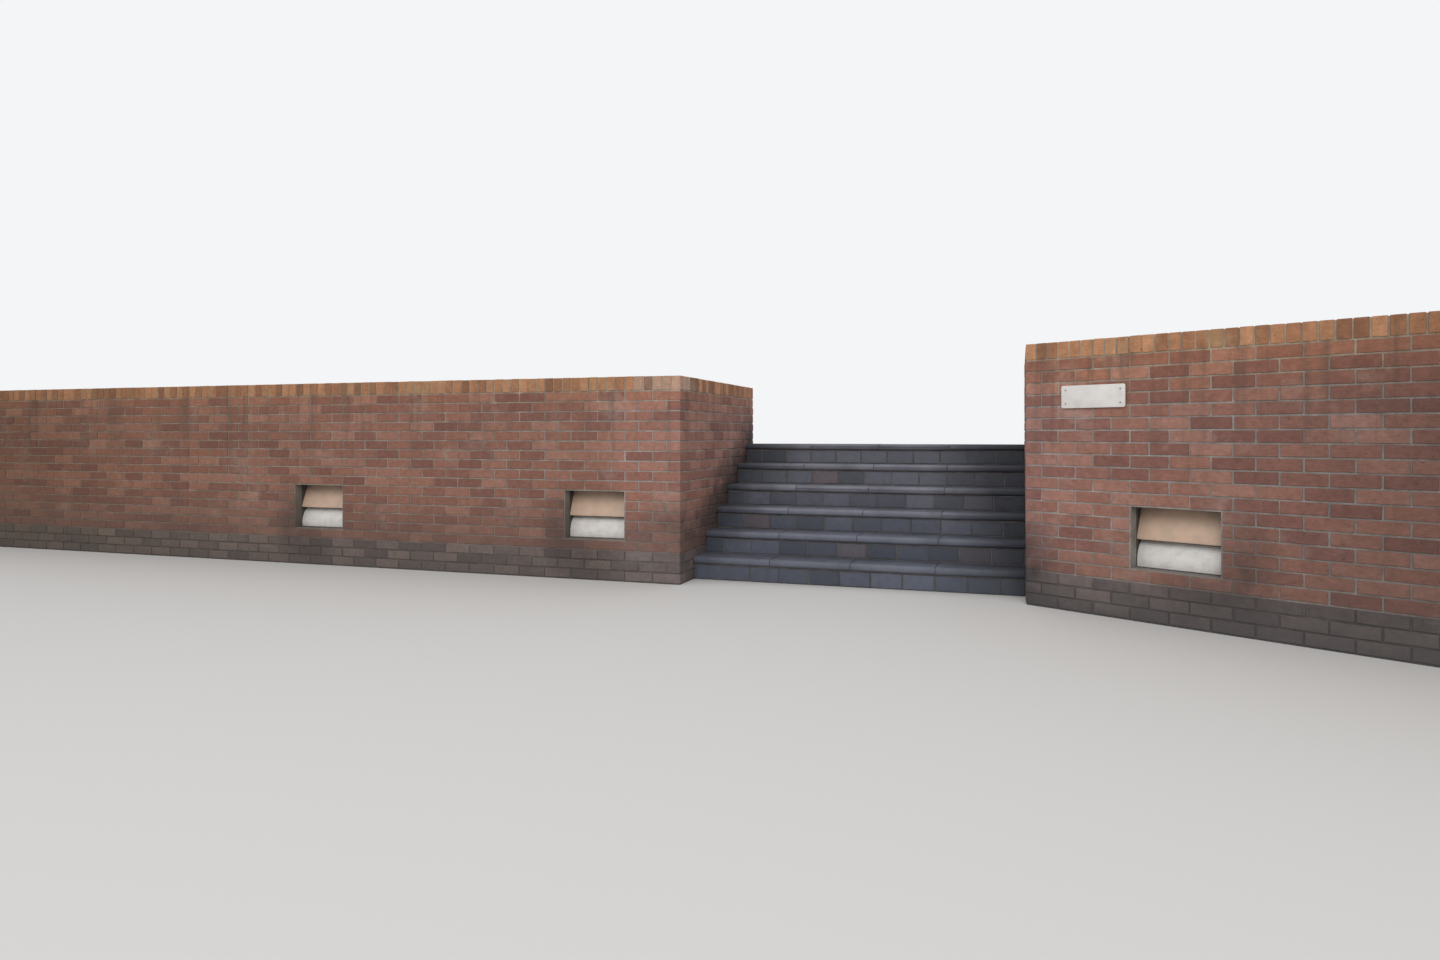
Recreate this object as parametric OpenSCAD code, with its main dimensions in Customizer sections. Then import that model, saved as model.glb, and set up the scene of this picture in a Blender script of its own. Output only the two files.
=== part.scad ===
// Brick garden wall either side of a flight of entrance steps.
// The left run stands along X, and the right run is splayed towards the street.
// Millimetres, +Z up, standing on z = 0, with the origin under the middle of the whole plan.

/* [Brick] */
// Length of a brick, which is also the thickness of the walls
brick_l = 215; // [200:5:240]
// Width of a brick
brick_w = 102.5; // [95:0.5:110]
// Height of a brick
brick_h = 65; // [50:1:75]
// Mortar joint between bricks
joint = 10; // [6:0.5:14]

/* [Walls] */
// Clear width between the two runs, where the steps go up
entrance_w = 2400; // [1600:50:3600]
// Length of one bay in brick lengths
bay_bricks = 11.5; // [8:0.5:14]
// Number of bays in the left run
left_bays = 3; // [1:1:4]
// Number of bays in the right run
right_bays = 2; // [1:1:3]
// Courses under the coping in the left run
left_courses = 19; // [15:1:24]
// Courses under the coping in the right run
right_courses = 21; // [15:1:24]
// Courses of dark brick at the foot
base_courses = 3; // [1:1:4]
// Angle by which the right run leaves the line of the left one
splay = 30; // [10:1:40]
// Side of the left end pier, and each leg of the right corner, in brick lengths
pier_bricks = 1.5; // [1.5:0.5:2.5]

/* [Steps] */
// Height of one riser
rise = 170; // [150:1:180]
// Depth of one going
going = 280; // [250:5:300]
// Number of risers
risers = 6; // [3:1:6]
// Thickness of a tread slab
tread_t = 50; // [30:1:70]
// How far a nosing stands out over its riser
nosing = 20; // [5:1:35]
// How far the first riser stands behind the front of the walls
steps_set = 300; // [60:10:450]
// Least depth of the landing; the walls beside the steps end behind it at a half brick
landing_l = 190; // [100:10:600]

/* [Wall lights] */
// Width of a light's recess in brick lengths
light_bricks = 2.25; // [1:0.25:3]
// Height of a light's recess in courses
light_courses = 5; // [2:1:5]
// Courses of brick between the dark foot and a light
light_up = 1; // [0:1:4]
// Depth of a light's recess
recess_d = 150; // [135:5:165]
// How far a light stands back from the face of the wall
light_set = 80; // [60:5:90]
// Thickness of a light's sheet metal
sheet_t = 4; // [3:0.5:6]
// Height of the turned down lip of a light's hood
lip_h = 18; // [8:1:30]
// Part of a light's height that the lens takes up, under the hood
lens_part = 0.46; // [0.35:0.01:0.5]
// Radius of the curved face of a light's lens
lens_r = 160; // [120:5:250]
// Bricks from the end pier to the nearest light in the left run
left_light_bricks = 0.5; // [0.5:0.5:4]
// Bricks from the corner piece to the light in the right run
right_light_bricks = 1.5; // [0.5:0.5:4]

/* [Sign plate] */
// Length of the bare plate
plate_l = 400; // [250:10:600]
// Height of the bare plate
plate_h = 140; // [80:5:250]
// Thickness of the bare plate
plate_t = 6; // [3:0.5:12]
// Corner radius of the bare plate
plate_r = 12; // [5:1:30]
// Distance from the entrance corner to the plate
plate_s = 250; // [150:10:600]
// Height of the middle of the plate above the foot
plate_z = 1337; // [900:1:1400]
// Length of the spacers behind the plate
spacer_l = 8; // [4:1:20]
// Diameter of the spacers behind the plate
spacer_d = 16; // [10:1:24]

/* [Hidden] */
$fn = 48;

// Brickwork module: a brick and its joint along the wall, and a course up it
pitch = brick_l + joint;
course = brick_h + joint;
wall_t = brick_l;

// Heights
base_h = base_courses * course;
left_top = left_courses * course;
right_top = right_courses * course;
coping_h = joint + brick_w;

// Lengths, measured from the entrance corner of each run
pier_s = pier_bricks * pitch;
bay_s = bay_bricks * pitch;
cheek_y = ceil((riser_y(risers - 1) + landing_l + joint) / (pitch / 2)) * pitch / 2 - joint;
left_s = pier_s + left_bays * bay_s - joint;
right_s = pier_s + right_bays * bay_s - joint;
left_light_s = pier_s + left_light_bricks * pitch;
right_light_s = pier_s + right_light_bricks * pitch;

// Lights
light_w = light_bricks * pitch - joint;
light_h = light_courses * course - joint;
light_d = recess_d - light_set;
recess_z = base_h + light_up * course + joint;
inner_w = light_w - 2 * sheet_t;
inner_d = light_d - sheet_t;
hood_z = light_h * lens_part;
hood_top = light_h - sheet_t;

// Steps
total_rise = risers * rise;
function riser_y(k) = steps_set + k * going;

// Middle of the whole plan, which the origin stands under
half_w = entrance_w / 2;
x_low = -half_w - left_s;
x_high = half_w + right_s * cos(splay) + wall_t * sin(splay);
y_low = -right_s * sin(splay);
y_high = cheek_y;
mid = [(x_low + x_high) / 2, (y_low + y_high) / 2, 0];

// Finishes
brick_red = [0.55, 0.38, 0.33];
pier_red = [0.58, 0.44, 0.39];
base_dark = [0.33, 0.29, 0.28];
coping_tan = [0.57, 0.45, 0.36];
step_blue = [0.33, 0.34, 0.37];
hood_tan = [0.60, 0.50, 0.42];
lens_pale = [0.78, 0.76, 0.74];
sheet_dark = [0.25, 0.24, 0.24];
plate_white = [0.85, 0.84, 0.83];

// Places: along the left run, along the right run, and beside the steps on either side.
// In each, X runs away from the entrance and Y runs back into the wall.
module on_left() {
    translate([-half_w, 0, 0] - mid) mirror([1, 0, 0]) children();
}

module beside_right() {
    translate([half_w, 0, 0] - mid) children();
}

module on_right() {
    beside_right() rotate([0, 0, -splay]) children();
}

// A block of masonry between two heights, from s0 to s1 along the run
module block(s0, s1, y0, y1, z0, z1) {
    translate([s0, y0, z0]) cube([s1 - s0, y1 - y0, z1 - z0]);
}

// Start and end of bay number k; the last bay stops short by one joint
function bay_start(k) = pier_s + (k - 1) * bay_s;
function bay_end(k, bays) = pier_s + k * bay_s - (k == bays ? joint : 0);

module bay_block(k, bays, z0, z1) {
    block(bay_start(k), bay_end(k, bays), 0, wall_t, z0, z1);
}

// Brickwork of bay k, with the recess of a light that starts at light_s, or none below 0
module bay_brickwork(k, bays, top, light_s) {
    difference() {
        bay_block(k, bays, base_h, top);
        if (light_s >= 0)
            block(light_s, light_s + light_w, -1, recess_d, recess_z, recess_z + light_h);
    }
}

// Plan of the left end pier, square to the run
module left_pier_plan() {
    square(pier_s);
}

// Plan of the right corner: the wall turns from the splayed run to the steps at one thickness
module right_corner_plan() {
    along = [cos(splay), -sin(splay)] * pier_s;
    inward = [sin(splay), cos(splay)] * wall_t;
    inside = [wall_t, wall_t * tan(45 - splay / 2)];
    polygon([[0, 0], along, along + inward, inside, [wall_t, pier_s], [0, pier_s]]);
}

module upright(z0, z1) {
    translate([0, 0, z0]) linear_extrude(height = z1 - z0) children();
}

module cheek(z0, z1) {
    block(0, wall_t, pier_s, cheek_y, z0, z1);
}

// Left end pier
module left_pier_base() {
    color(base_dark) on_left() upright(0, base_h) left_pier_plan();
}

module left_pier_brickwork() {
    color(pier_red) on_left() upright(base_h, left_top) left_pier_plan();
}

module left_pier_coping() {
    color(coping_tan) on_left() upright(left_top, left_top + coping_h) left_pier_plan();
}

// Bays of the left run: the light stands at the same place in the first two
module left_bay_base(k) {
    color(base_dark) on_left() bay_block(k, left_bays, 0, base_h);
}

module left_bay_brickwork(k) {
    light_s = k <= 2 ? left_light_s + (k - 1) * bay_s : -1;
    color(brick_red) on_left() bay_brickwork(k, left_bays, left_top, light_s);
}

module left_bay_coping(k) {
    color(coping_tan) on_left() bay_block(k, left_bays, left_top, left_top + coping_h);
}

// Wall beside the steps on the left
module left_cheek_base() {
    color(base_dark) on_left() cheek(0, base_h);
}

module left_cheek_brickwork() {
    color(brick_red) on_left() cheek(base_h, left_top);
}

module left_cheek_coping() {
    color(coping_tan) on_left() cheek(left_top, left_top + coping_h);
}

// Right corner
module right_corner_base() {
    color(base_dark) beside_right() upright(0, base_h) right_corner_plan();
}

module right_corner_brickwork() {
    color(pier_red) beside_right() upright(base_h, right_top) right_corner_plan();
}

module right_corner_coping() {
    color(coping_tan) beside_right() upright(right_top, right_top + coping_h) right_corner_plan();
}

// Bays of the right run: only the first one has a light
module right_bay_base(k) {
    color(base_dark) on_right() bay_block(k, right_bays, 0, base_h);
}

module right_bay_brickwork(k) {
    light_s = k == 1 ? right_light_s : -1;
    color(brick_red) on_right() bay_brickwork(k, right_bays, right_top, light_s);
}

module right_bay_coping(k) {
    color(coping_tan) on_right() bay_block(k, right_bays, right_top, right_top + coping_h);
}

// Wall beside the steps on the right
module right_cheek_base() {
    color(base_dark) beside_right() cheek(0, base_h);
}

module right_cheek_brickwork() {
    color(brick_red) beside_right() cheek(base_h, right_top);
}

module right_cheek_coping() {
    color(coping_tan) beside_right() cheek(right_top, right_top + coping_h);
}

// A shape drawn as [y, z], extruded across the opening or a light from x = 0 to x = length
module across(length) {
    rotate([90, 0, 90]) linear_extrude(height = length) children();
}

// The mass under the steps: each riser stands on the tread below it
module flight_profile() {
    steps = [for (k = [0 : risers - 1]) each [
        [riser_y(k), k == 0 ? 0 : k * rise - tread_t],
        [riser_y(k), (k + 1) * rise - tread_t]
    ]];
    polygon(concat(steps, [[cheek_y, total_rise - tread_t], [cheek_y, 0]]));
}

module flight() {
    color(step_blue) translate([-half_w, 0, 0] - mid) across(entrance_w) flight_profile();
}

// A tread slab whose front edge is a half round nosing
module tread_profile(y0, y1) {
    front = y0 - nosing + tread_t / 2;
    translate([front, -tread_t]) square([y1 - front, tread_t]);
    translate([front, -tread_t / 2]) circle(d = tread_t);
}

module tread(k) {
    if (k < risers)
        color(step_blue) translate([-half_w, 0, k * rise] - mid)
            across(entrance_w) tread_profile(riser_y(k - 1), riser_y(k));
}

module landing() {
    color(step_blue) translate([-half_w, 0, total_rise] - mid)
        across(entrance_w) tread_profile(riser_y(risers - 1), cheek_y);
}

// A light's own frame has X along the wall, Y into it and Z up from the foot of the recess
module at_light(n) {
    if (n == 3)
        on_right() translate([right_light_s, light_set, recess_z]) children();
    else
        on_left() translate([left_light_s + (n - 1) * bay_s, light_set, recess_z]) children();
}

// Sheet metal box, open to the front, that lines the recess
module housing() {
    difference() {
        cube([light_w, light_d, light_h]);
        translate([sheet_t, -1, sheet_t]) cube([inner_w, inner_d + 1, light_h - 2 * sheet_t]);
    }
}

// Side view of the hood: a slope from the top of the back down to a lip at the front
module hood_outline() {
    polygon([[0, hood_z], [0, hood_z + lip_h], [inner_d, hood_top], [inner_d, hood_z]]);
}

module hood_profile() {
    difference() {
        hood_outline();
        translate([sheet_t, -sheet_t * 1.5]) hood_outline();
        translate([sheet_t, hood_z - 1]) square([inner_d, lip_h / 2]);
    }
}

module hood() {
    translate([sheet_t, 0, 0]) {
        across(inner_w) hood_profile();
        across(sheet_t) hood_outline();
        translate([inner_w - sheet_t, 0, 0]) across(sheet_t) hood_outline();
    }
}

// Side view of the lens: a part of a circle through the front of the floor and the back of the hood
module lens_profile() {
    low = [sheet_t, sheet_t];
    high = [inner_d, hood_z - sheet_t];
    half = norm(high - low) / 2;
    way = (high - low) / (2 * half);
    centre = (low + high) / 2 + [way[1], -way[0]] * sqrt(lens_r * lens_r - half * half);
    intersection() {
        translate(centre) circle(r = lens_r, $fn = 96);
        translate([0, sheet_t]) square([inner_d, hood_z - 2 * sheet_t]);
    }
}

module lens() {
    translate([sheet_t, 0, 0]) across(inner_w) lens_profile();
}

module light_housing(n) {
    color(sheet_dark) at_light(n) housing();
}

module light_hood(n) {
    color(hood_tan) at_light(n) hood();
}

module light_lens(n) {
    color(lens_pale) at_light(n) lens();
}

// Bare plate with rounded corners on four round spacers
module plate_outline() {
    translate([plate_r, 0]) square([plate_l - 2 * plate_r, plate_h]);
    translate([0, plate_r]) square([plate_l, plate_h - 2 * plate_r]);
    for (x = [plate_r, plate_l - plate_r], z = [plate_r, plate_h - plate_r])
        translate([x, z]) circle(r = plate_r);
}

module sign_plate() {
    inset = plate_r + spacer_d;
    color(plate_white) on_right() translate([plate_s, 0, plate_z - plate_h / 2]) rotate([90, 0, 0]) {
        translate([0, 0, spacer_l]) linear_extrude(height = plate_t) plate_outline();
        for (x = [inset, plate_l - inset], z = [inset, plate_h - inset])
            translate([x, z, 0]) cylinder(d = spacer_d, h = spacer_l);
    }
}

left_pier_base();
left_pier_brickwork();
left_pier_coping();
left_bay_base(1);  // left_bay_1_base
left_bay_brickwork(1);  // left_bay_1_brickwork
left_bay_coping(1);  // left_bay_1_coping
left_bay_base(2);  // left_bay_2_base
left_bay_brickwork(2);  // left_bay_2_brickwork
left_bay_coping(2);  // left_bay_2_coping
left_bay_base(3);  // left_bay_3_base
left_bay_brickwork(3);  // left_bay_3_brickwork
left_bay_coping(3);  // left_bay_3_coping
left_cheek_base();
left_cheek_brickwork();
left_cheek_coping();
right_corner_base();
right_corner_brickwork();
right_corner_coping();
right_bay_base(1);  // right_bay_1_base
right_bay_brickwork(1);  // right_bay_1_brickwork
right_bay_coping(1);  // right_bay_1_coping
right_bay_base(2);  // right_bay_2_base
right_bay_brickwork(2);  // right_bay_2_brickwork
right_bay_coping(2);  // right_bay_2_coping
right_cheek_base();
right_cheek_brickwork();
right_cheek_coping();
flight();
tread(1);  // tread_1
tread(2);  // tread_2
tread(3);  // tread_3
tread(4);  // tread_4
tread(5);  // tread_5
landing();
light_housing(1);  // light_1_housing
light_hood(1);  // light_1_hood
light_lens(1);  // light_1_lens
light_housing(2);  // light_2_housing
light_hood(2);  // light_2_hood
light_lens(2);  // light_2_lens
light_housing(3);  // light_3_housing
light_hood(3);  // light_3_hood
light_lens(3);  // light_3_lens
sign_plate();
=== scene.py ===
"""Looks of a brick garden wall either side of a flight of entrance steps.

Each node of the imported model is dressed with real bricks, slabs and fittings, in metres, in its own place.
"""

import math
from functools import partial, reduce

import bpy
import numpy as np
from mathutils import Matrix, Vector


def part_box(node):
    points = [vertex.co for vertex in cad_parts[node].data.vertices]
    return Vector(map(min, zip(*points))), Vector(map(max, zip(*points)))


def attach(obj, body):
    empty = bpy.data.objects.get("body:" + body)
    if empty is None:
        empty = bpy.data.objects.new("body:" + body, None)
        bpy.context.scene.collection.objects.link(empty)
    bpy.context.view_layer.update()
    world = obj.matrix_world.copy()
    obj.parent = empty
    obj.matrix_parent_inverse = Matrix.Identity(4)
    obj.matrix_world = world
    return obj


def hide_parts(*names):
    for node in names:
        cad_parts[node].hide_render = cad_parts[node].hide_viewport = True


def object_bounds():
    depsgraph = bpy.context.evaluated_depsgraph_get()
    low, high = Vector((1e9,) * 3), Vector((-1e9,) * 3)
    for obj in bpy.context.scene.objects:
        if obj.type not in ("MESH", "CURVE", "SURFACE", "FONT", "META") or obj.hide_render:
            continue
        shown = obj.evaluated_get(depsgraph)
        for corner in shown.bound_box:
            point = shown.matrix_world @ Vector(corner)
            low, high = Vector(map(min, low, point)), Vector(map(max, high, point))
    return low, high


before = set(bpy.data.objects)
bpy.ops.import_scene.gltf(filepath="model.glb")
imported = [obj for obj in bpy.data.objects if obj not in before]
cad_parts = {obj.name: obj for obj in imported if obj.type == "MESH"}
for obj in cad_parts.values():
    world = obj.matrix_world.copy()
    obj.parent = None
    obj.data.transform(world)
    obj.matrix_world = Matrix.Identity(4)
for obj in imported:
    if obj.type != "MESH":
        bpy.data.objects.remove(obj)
cad_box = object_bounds()

# Brick sizes and the mortar between them
BRICK_L = 0.215
BRICK_W = 0.1025
BRICK_H = 0.065
JOINT = 0.010
PITCH = BRICK_L + JOINT
HALF = PITCH / 2
COURSE = BRICK_H + JOINT
# Rounding of a brick's arris, and how far the mortar lies back from the face
ARRIS = 0.0022
JOINT_DEPTH = 0.0042
# How far a laid brick may stand off its place, in metres, and lean, in radians
WANDER = 0.0011
LEAN = 0.006
# Cut bricks that fill the back of the left pier's coping
PIER_BATS = 5
# Lengths that count as nothing when places are compared, the cosine over which two ways are the same, and
# the angle from which an edge is sharp
TINY = 1e-4
ALIGNED = 0.99
SHARP = math.radians(35)

# Angle by which the right run leaves the line of the left one, and the bays of both
SPLAY = math.radians(30)
LEFT_BAYS = 3
RIGHT_BAYS = 2

# Steps
RISE = 0.170
GOING = 0.280
RISERS = 6
TREAD_T = 0.050
NOSING = 0.020
LANDING_FOOT = RISERS * RISE - TREAD_T
# Mortar under the bricks of a riser
RISER_BED = 0.006
# Slabs in a tread, the gap between them, the rounding of their front and of their other edges, and how far
# they may stand off their place
SLABS = 4
SLAB_GAP = 0.005
NOSING_R = TREAD_T * 0.42
SLAB_R = 0.0016
SLAB_WANDER = 0.0006
# How far the mortar between slabs stays inside their front, back, underside and top
BED_FRONT, BED_BACK, BED_UNDER, BED_TOP = 0.012, 0.003, 0.002, 0.006
# Middles of the two grooves behind each nosing's front edge, and their width and depth
GROOVES = (0.049, 0.069)
GROOVE_W = 0.008
GROOVE_D = 0.005

# Wall lights: bricks from the corner piece to the first light of a run
LIGHT_BRICKS = {"left": 0.5, "right": 1.5}
# The sheet metal of the box and of the hood, the rounding of their edges, and the height of the hood's lip
SHEET = 0.004
BOX_R = 0.001
HOOD_SHEET = 0.003
HOOD_R = 0.0012
LIP_H = 0.018
# The lens: its part of the recess's height, the radius of its curve, the rounding of its edges, and how many
# sides the whole cylinder would have
LENS_PART = 0.46
LENS_R = 0.160
LENS_EDGE_R = 0.0015
LENS_SIDES = 180

# Sizes and places worked out from the frame
pier_low, pier_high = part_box("left_pier_base")
bay_low, bay_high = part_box("left_bay_1_base")
side_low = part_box("right_cheek_base")[0]
flight_low, flight_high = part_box("flight")
housing_low, housing_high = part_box("light_1_housing")
FRONT_Y = pier_low[1]
BACK_Y = flight_high[1]
LEFT_X = pier_high[0]
RIGHT_X = side_low[0]
ENTRANCE_W = RIGHT_X - LEFT_X
PIER = pier_high[0] - pier_low[0]
BAY = bay_high[0] - bay_low[0]
SIDE_END = BACK_Y - FRONT_Y
LIGHT_SET = housing_low[1] - FRONT_Y
LIGHT_D = housing_high[1] - housing_low[1]
LIGHT_W = housing_high[0] - housing_low[0]
RECESS = (housing_low[2], housing_high[2])
LENS_TOP = RECESS[0] + (RECESS[1] - RECESS[0]) * LENS_PART
LEFT_END = PIER + LEFT_BAYS * BAY - JOINT
RIGHT_END = PIER + RIGHT_BAYS * BAY - JOINT
# Rows across the steps start with a whole brick at one wall and at the other by turns
ROW_BRICKS = math.ceil(ENTRANCE_W / PITCH)
ODD_ROW = ROW_BRICKS * PITCH - ENTRANCE_W


def run_axes(corner_x, corner_y, along, inward):
    """The axes of a run: X along it, Y back from its face and Z up, from its corner."""
    return Matrix(((*along, 0, 0), (*inward, 0, 0), (0, 0, 1, 0), (corner_x, corner_y, 0, 1))).transposed()


LEFT_RUN = run_axes(LEFT_X, FRONT_Y, (-1, 0), (0, 1))
LEFT_SIDE = run_axes(LEFT_X, FRONT_Y, (0, 1), (-1, 0))
RIGHT_RUN = run_axes(
    RIGHT_X, FRONT_Y, (math.cos(SPLAY), -math.sin(SPLAY)), (math.sin(SPLAY), math.cos(SPLAY)))
RIGHT_SIDE = run_axes(RIGHT_X, FRONT_Y, (0, 1), (1, 0))
# Across the steps from the left wall, and across their back
STEPS = run_axes(LEFT_X, FRONT_Y, (1, 0), (0, 1))
STEPS_BACK = run_axes(LEFT_X, BACK_Y, (1, 0), (0, -1))
# The mitre plane of the right corner looks this way in the axes of the run and of the side wall alike
MITRE = Vector((-math.sin(math.pi / 4 + SPLAY / 2), math.cos(math.pi / 4 + SPLAY / 2), 0))
CORNER = Vector((0, 0, 0))
# Each run: its axes, how many bays it has, where it ends, and how many of its bays have a light
RUNS = {"left": (LEFT_RUN, LEFT_BAYS, LEFT_END, 2), "right": (RIGHT_RUN, RIGHT_BAYS, RIGHT_END, 1)}


def bay_start(bay):
    """How far along its run a bay starts."""
    return PIER + (bay - 1) * BAY


def light_start(side, bay):
    """How far along its run the light of a bay starts."""
    return PIER + LIGHT_BRICKS[side] * PITCH + (bay - 1) * BAY


# Editing with Blender's own operators

def deselect():
    bpy.ops.object.select_all(action="DESELECT")


def pick(piece):
    """Makes piece the only selected object, and the active one."""
    deselect()
    piece.select_set(True)
    bpy.context.view_layer.objects.active = piece


def edit(piece):
    """Starts edit mode on piece with everything in it selected."""
    pick(piece)
    bpy.ops.object.mode_set(mode="EDIT")
    bpy.ops.mesh.select_mode(type="FACE")
    bpy.ops.mesh.select_all(action="SELECT")


def done():
    """Ends edit mode."""
    bpy.ops.object.mode_set(mode="OBJECT")


def edit_chosen(piece, kind, parts, chosen):
    """Starts edit mode on piece with only the chosen parts of one kind selected."""
    edit(piece)
    bpy.ops.mesh.select_mode(type=kind)
    bpy.ops.mesh.select_all(action="DESELECT")
    done()
    getattr(piece.data, parts).foreach_set("select", np.asarray(chosen, dtype=bool))
    bpy.ops.object.mode_set(mode="EDIT")


def edit_faces(piece, chosen):
    """Starts edit mode on piece with only the chosen faces selected."""
    edit_chosen(piece, "FACE", "polygons", chosen)


def edit_edges(piece, test):
    """Starts edit mode on piece with the edges selected whose two ends pass the test."""
    places = [vertex.co for vertex in piece.data.vertices]
    chosen = [test(*(places[end] for end in edge.vertices)) for edge in piece.data.edges]
    edit_chosen(piece, "EDGE", "edges", chosen)


def vectors(parts, name):
    """One vector of every vertex or face of a mesh, one row each."""
    values = np.empty(len(parts) * 3)
    parts.foreach_get(name, values)
    return values.reshape(-1, 3)


def facing(piece, way):
    """True for each face of piece that looks along way."""
    return vectors(piece.data.polygons, "normal") @ np.array(way, dtype=float) > ALIGNED


def block(low, high, arris=0.0):
    """A box from its low corner to its high corner, all its edges cut off by arris."""
    low = Vector(low)
    high = Vector(high)
    deselect()
    bpy.ops.mesh.primitive_cube_add(size=1, location=(low + high) / 2)
    piece = bpy.context.object
    piece.scale = high - low
    bpy.ops.object.transform_apply(location=True, rotation=True, scale=True)
    if arris:
        edit(piece)
        bpy.ops.mesh.bevel(offset=arris, segments=1, affect="EDGES")
        done()
    return piece


def rod(low_end, radius, length, turn, sides=24):
    """A round bar from its low end, along Z before it is turned."""
    deselect()
    bpy.ops.mesh.primitive_cylinder_add(vertices=sides, radius=radius, depth=length)
    piece = bpy.context.object
    piece.data.transform(Matrix.Translation((0, 0, length / 2)))
    piece.data.transform(Matrix.Translation(low_end) @ turn)
    return piece


def modify(piece, kind, **settings):
    """Adds one modifier to piece and applies it."""
    pick(piece)
    modifier = piece.modifiers.new(kind.lower(), kind)
    for name, value in settings.items():
        setattr(modifier, name, value)
    bpy.ops.object.modifier_apply(modifier=modifier.name)


def soften(piece, width, segments=2):
    """Rounds every sharp edge of piece by width."""
    modify(piece, "BEVEL", width=width, segments=segments, limit_method="ANGLE", angle_limit=SHARP)


def repeat(piece, count, step):
    """An array of count copies of piece, a step apart, as one mesh."""
    if count > 1:
        modify(piece, "ARRAY", count=count, use_relative_offset=False,
               use_constant_offset=True, constant_offset_displace=step)
    return piece


def join(pieces):
    """Joins pieces into the first one."""
    pick(pieces[0])
    for piece in pieces:
        piece.select_set(True)
    if len(pieces) > 1:
        bpy.ops.object.join()
    return pieces[0]


def slice_off(piece, point, normal, close=True):
    """Cuts off all of piece that lies beyond a plane."""
    edit(piece)
    bpy.ops.mesh.bisect(plane_co=point, plane_no=normal, use_fill=close, clear_outer=True)
    done()
    return piece


def smooth(piece):
    """Shades piece smooth but for its sharp edges."""
    pick(piece)
    bpy.ops.object.shade_smooth_by_angle(angle=SHARP)


def place(piece, run):
    """Moves piece's mesh from a run's own axes into the frame."""
    piece.data.transform(run)
    if run.determinant() < 0:
        piece.data.flip_normals()
    return piece


def paint(piece, material):
    """Gives the whole piece one material."""
    piece.data.materials.clear()
    piece.data.materials.append(material)
    return piece


def finish_piece(piece, name, node):
    """Names piece, fixes it to the wall and lets it stand for its CAD node."""
    piece.name = name
    piece.data.name = name
    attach(piece, "root")
    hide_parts(node)


# Single bricks in a joined mesh

def brick_numbers(piece):
    """For every vertex of piece, the number of the brick that it belongs to."""
    mesh = piece.data
    edges = np.empty(len(mesh.edges) * 2, dtype=np.int64)
    mesh.edges.foreach_get("vertices", edges)
    first, second = edges.reshape(-1, 2).T
    lowest = np.arange(len(mesh.vertices))
    while True:
        before = lowest.copy()
        reach = np.minimum(lowest[first], lowest[second])
        np.minimum.at(lowest, first, reach)
        np.minimum.at(lowest, second, reach)
        if np.array_equal(before, lowest):
            return np.unique(lowest, return_inverse=True)[1]


def edit_bricks(piece, test):
    """Starts edit mode with the bricks selected whose corners pass the test. Tells whether there are any."""
    numbers = brick_numbers(piece)
    places = vectors(piece.data.vertices, "co")
    low = np.full((numbers.max() + 1, 3), np.inf)
    high = -low
    np.minimum.at(low, numbers, places)
    np.maximum.at(high, numbers, places)
    chosen = test(low, high)
    if not chosen.any():
        return False
    firsts = [face.vertices[0] for face in piece.data.polygons]
    edit_faces(piece, chosen[numbers[firsts]])
    return True


def clear_bricks(piece, test):
    """Takes out the bricks whose corners pass the test."""
    if edit_bricks(piece, test):
        bpy.ops.mesh.delete(type="VERT")
        done()


def trim_bricks(piece, test, point, normal):
    """Cuts the bricks that pass the test at a plane and keeps what lies behind it."""
    if edit_bricks(piece, test):
        bpy.ops.mesh.bisect(plane_co=point, plane_no=normal, use_fill=True, clear_outer=True)
        done()


# One number for each set of bricks that is laid, so that every run of the script lays them alike
seeds = iter(range(101, 400))


def weather(piece, wander=WANDER, turn=LEAN):
    """Gives each brick a tone from 0 to 1, and sets it a little out of line, as laid by hand."""
    numbers = brick_numbers(piece)
    count = numbers.max() + 1
    chance = np.random.default_rng(next(seeds))
    tone = chance.uniform(0, 1, count)
    shift = chance.uniform(-wander, wander, (count, 3))
    lean = chance.uniform(-turn, turn, (count, 2))
    places = vectors(piece.data.vertices, "co")
    centre = np.stack([np.bincount(numbers, places[:, k]) for k in range(3)], axis=1)
    centre /= np.bincount(numbers)[:, None]
    arm = places - centre[numbers]
    places += shift[numbers]
    places[:, 2] += arm[:, 0] * lean[numbers, 0]
    places[:, 1] += arm[:, 2] * lean[numbers, 1]
    piece.data.vertices.foreach_set("co", places.ravel())
    attribute = piece.data.attributes.new("tone", "FLOAT", "POINT")
    attribute.data.foreach_set("value", tone[numbers])
    piece.data.update()


# Materials

# Settings of nodes that lay one colour over another, tint one with another, and work on numbers
COVER = {"data_type": "RGBA"}
TINT = {"data_type": "RGBA", "blend_type": "MULTIPLY"}
TIMES = {"operation": "MULTIPLY"}
TIMES_PLUS = {"operation": "MULTIPLY_ADD"}
# Sockets of a node that mixes colours
SHARE, UNDER, OVER = 0, 6, 7
# How rough a noise is: in streaks and drag marks, in clouds and lumps, and in sand
SOFT = {"Detail": 4, "Roughness": 0.6}
CLOUDY = {"Detail": 5, "Roughness": 0.6}
SANDY = {"Detail": 3, "Roughness": 0.75}


def linear(code):
    """An sRGB hex colour as linear red, green, blue and alpha."""
    values = [int(code[k:k + 2], 16) / 255 for k in (1, 3, 5)]
    return [v / 12.92 if v <= 0.04045 else ((v + 0.055) / 1.055) ** 2.4 for v in values] + [1]


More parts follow.
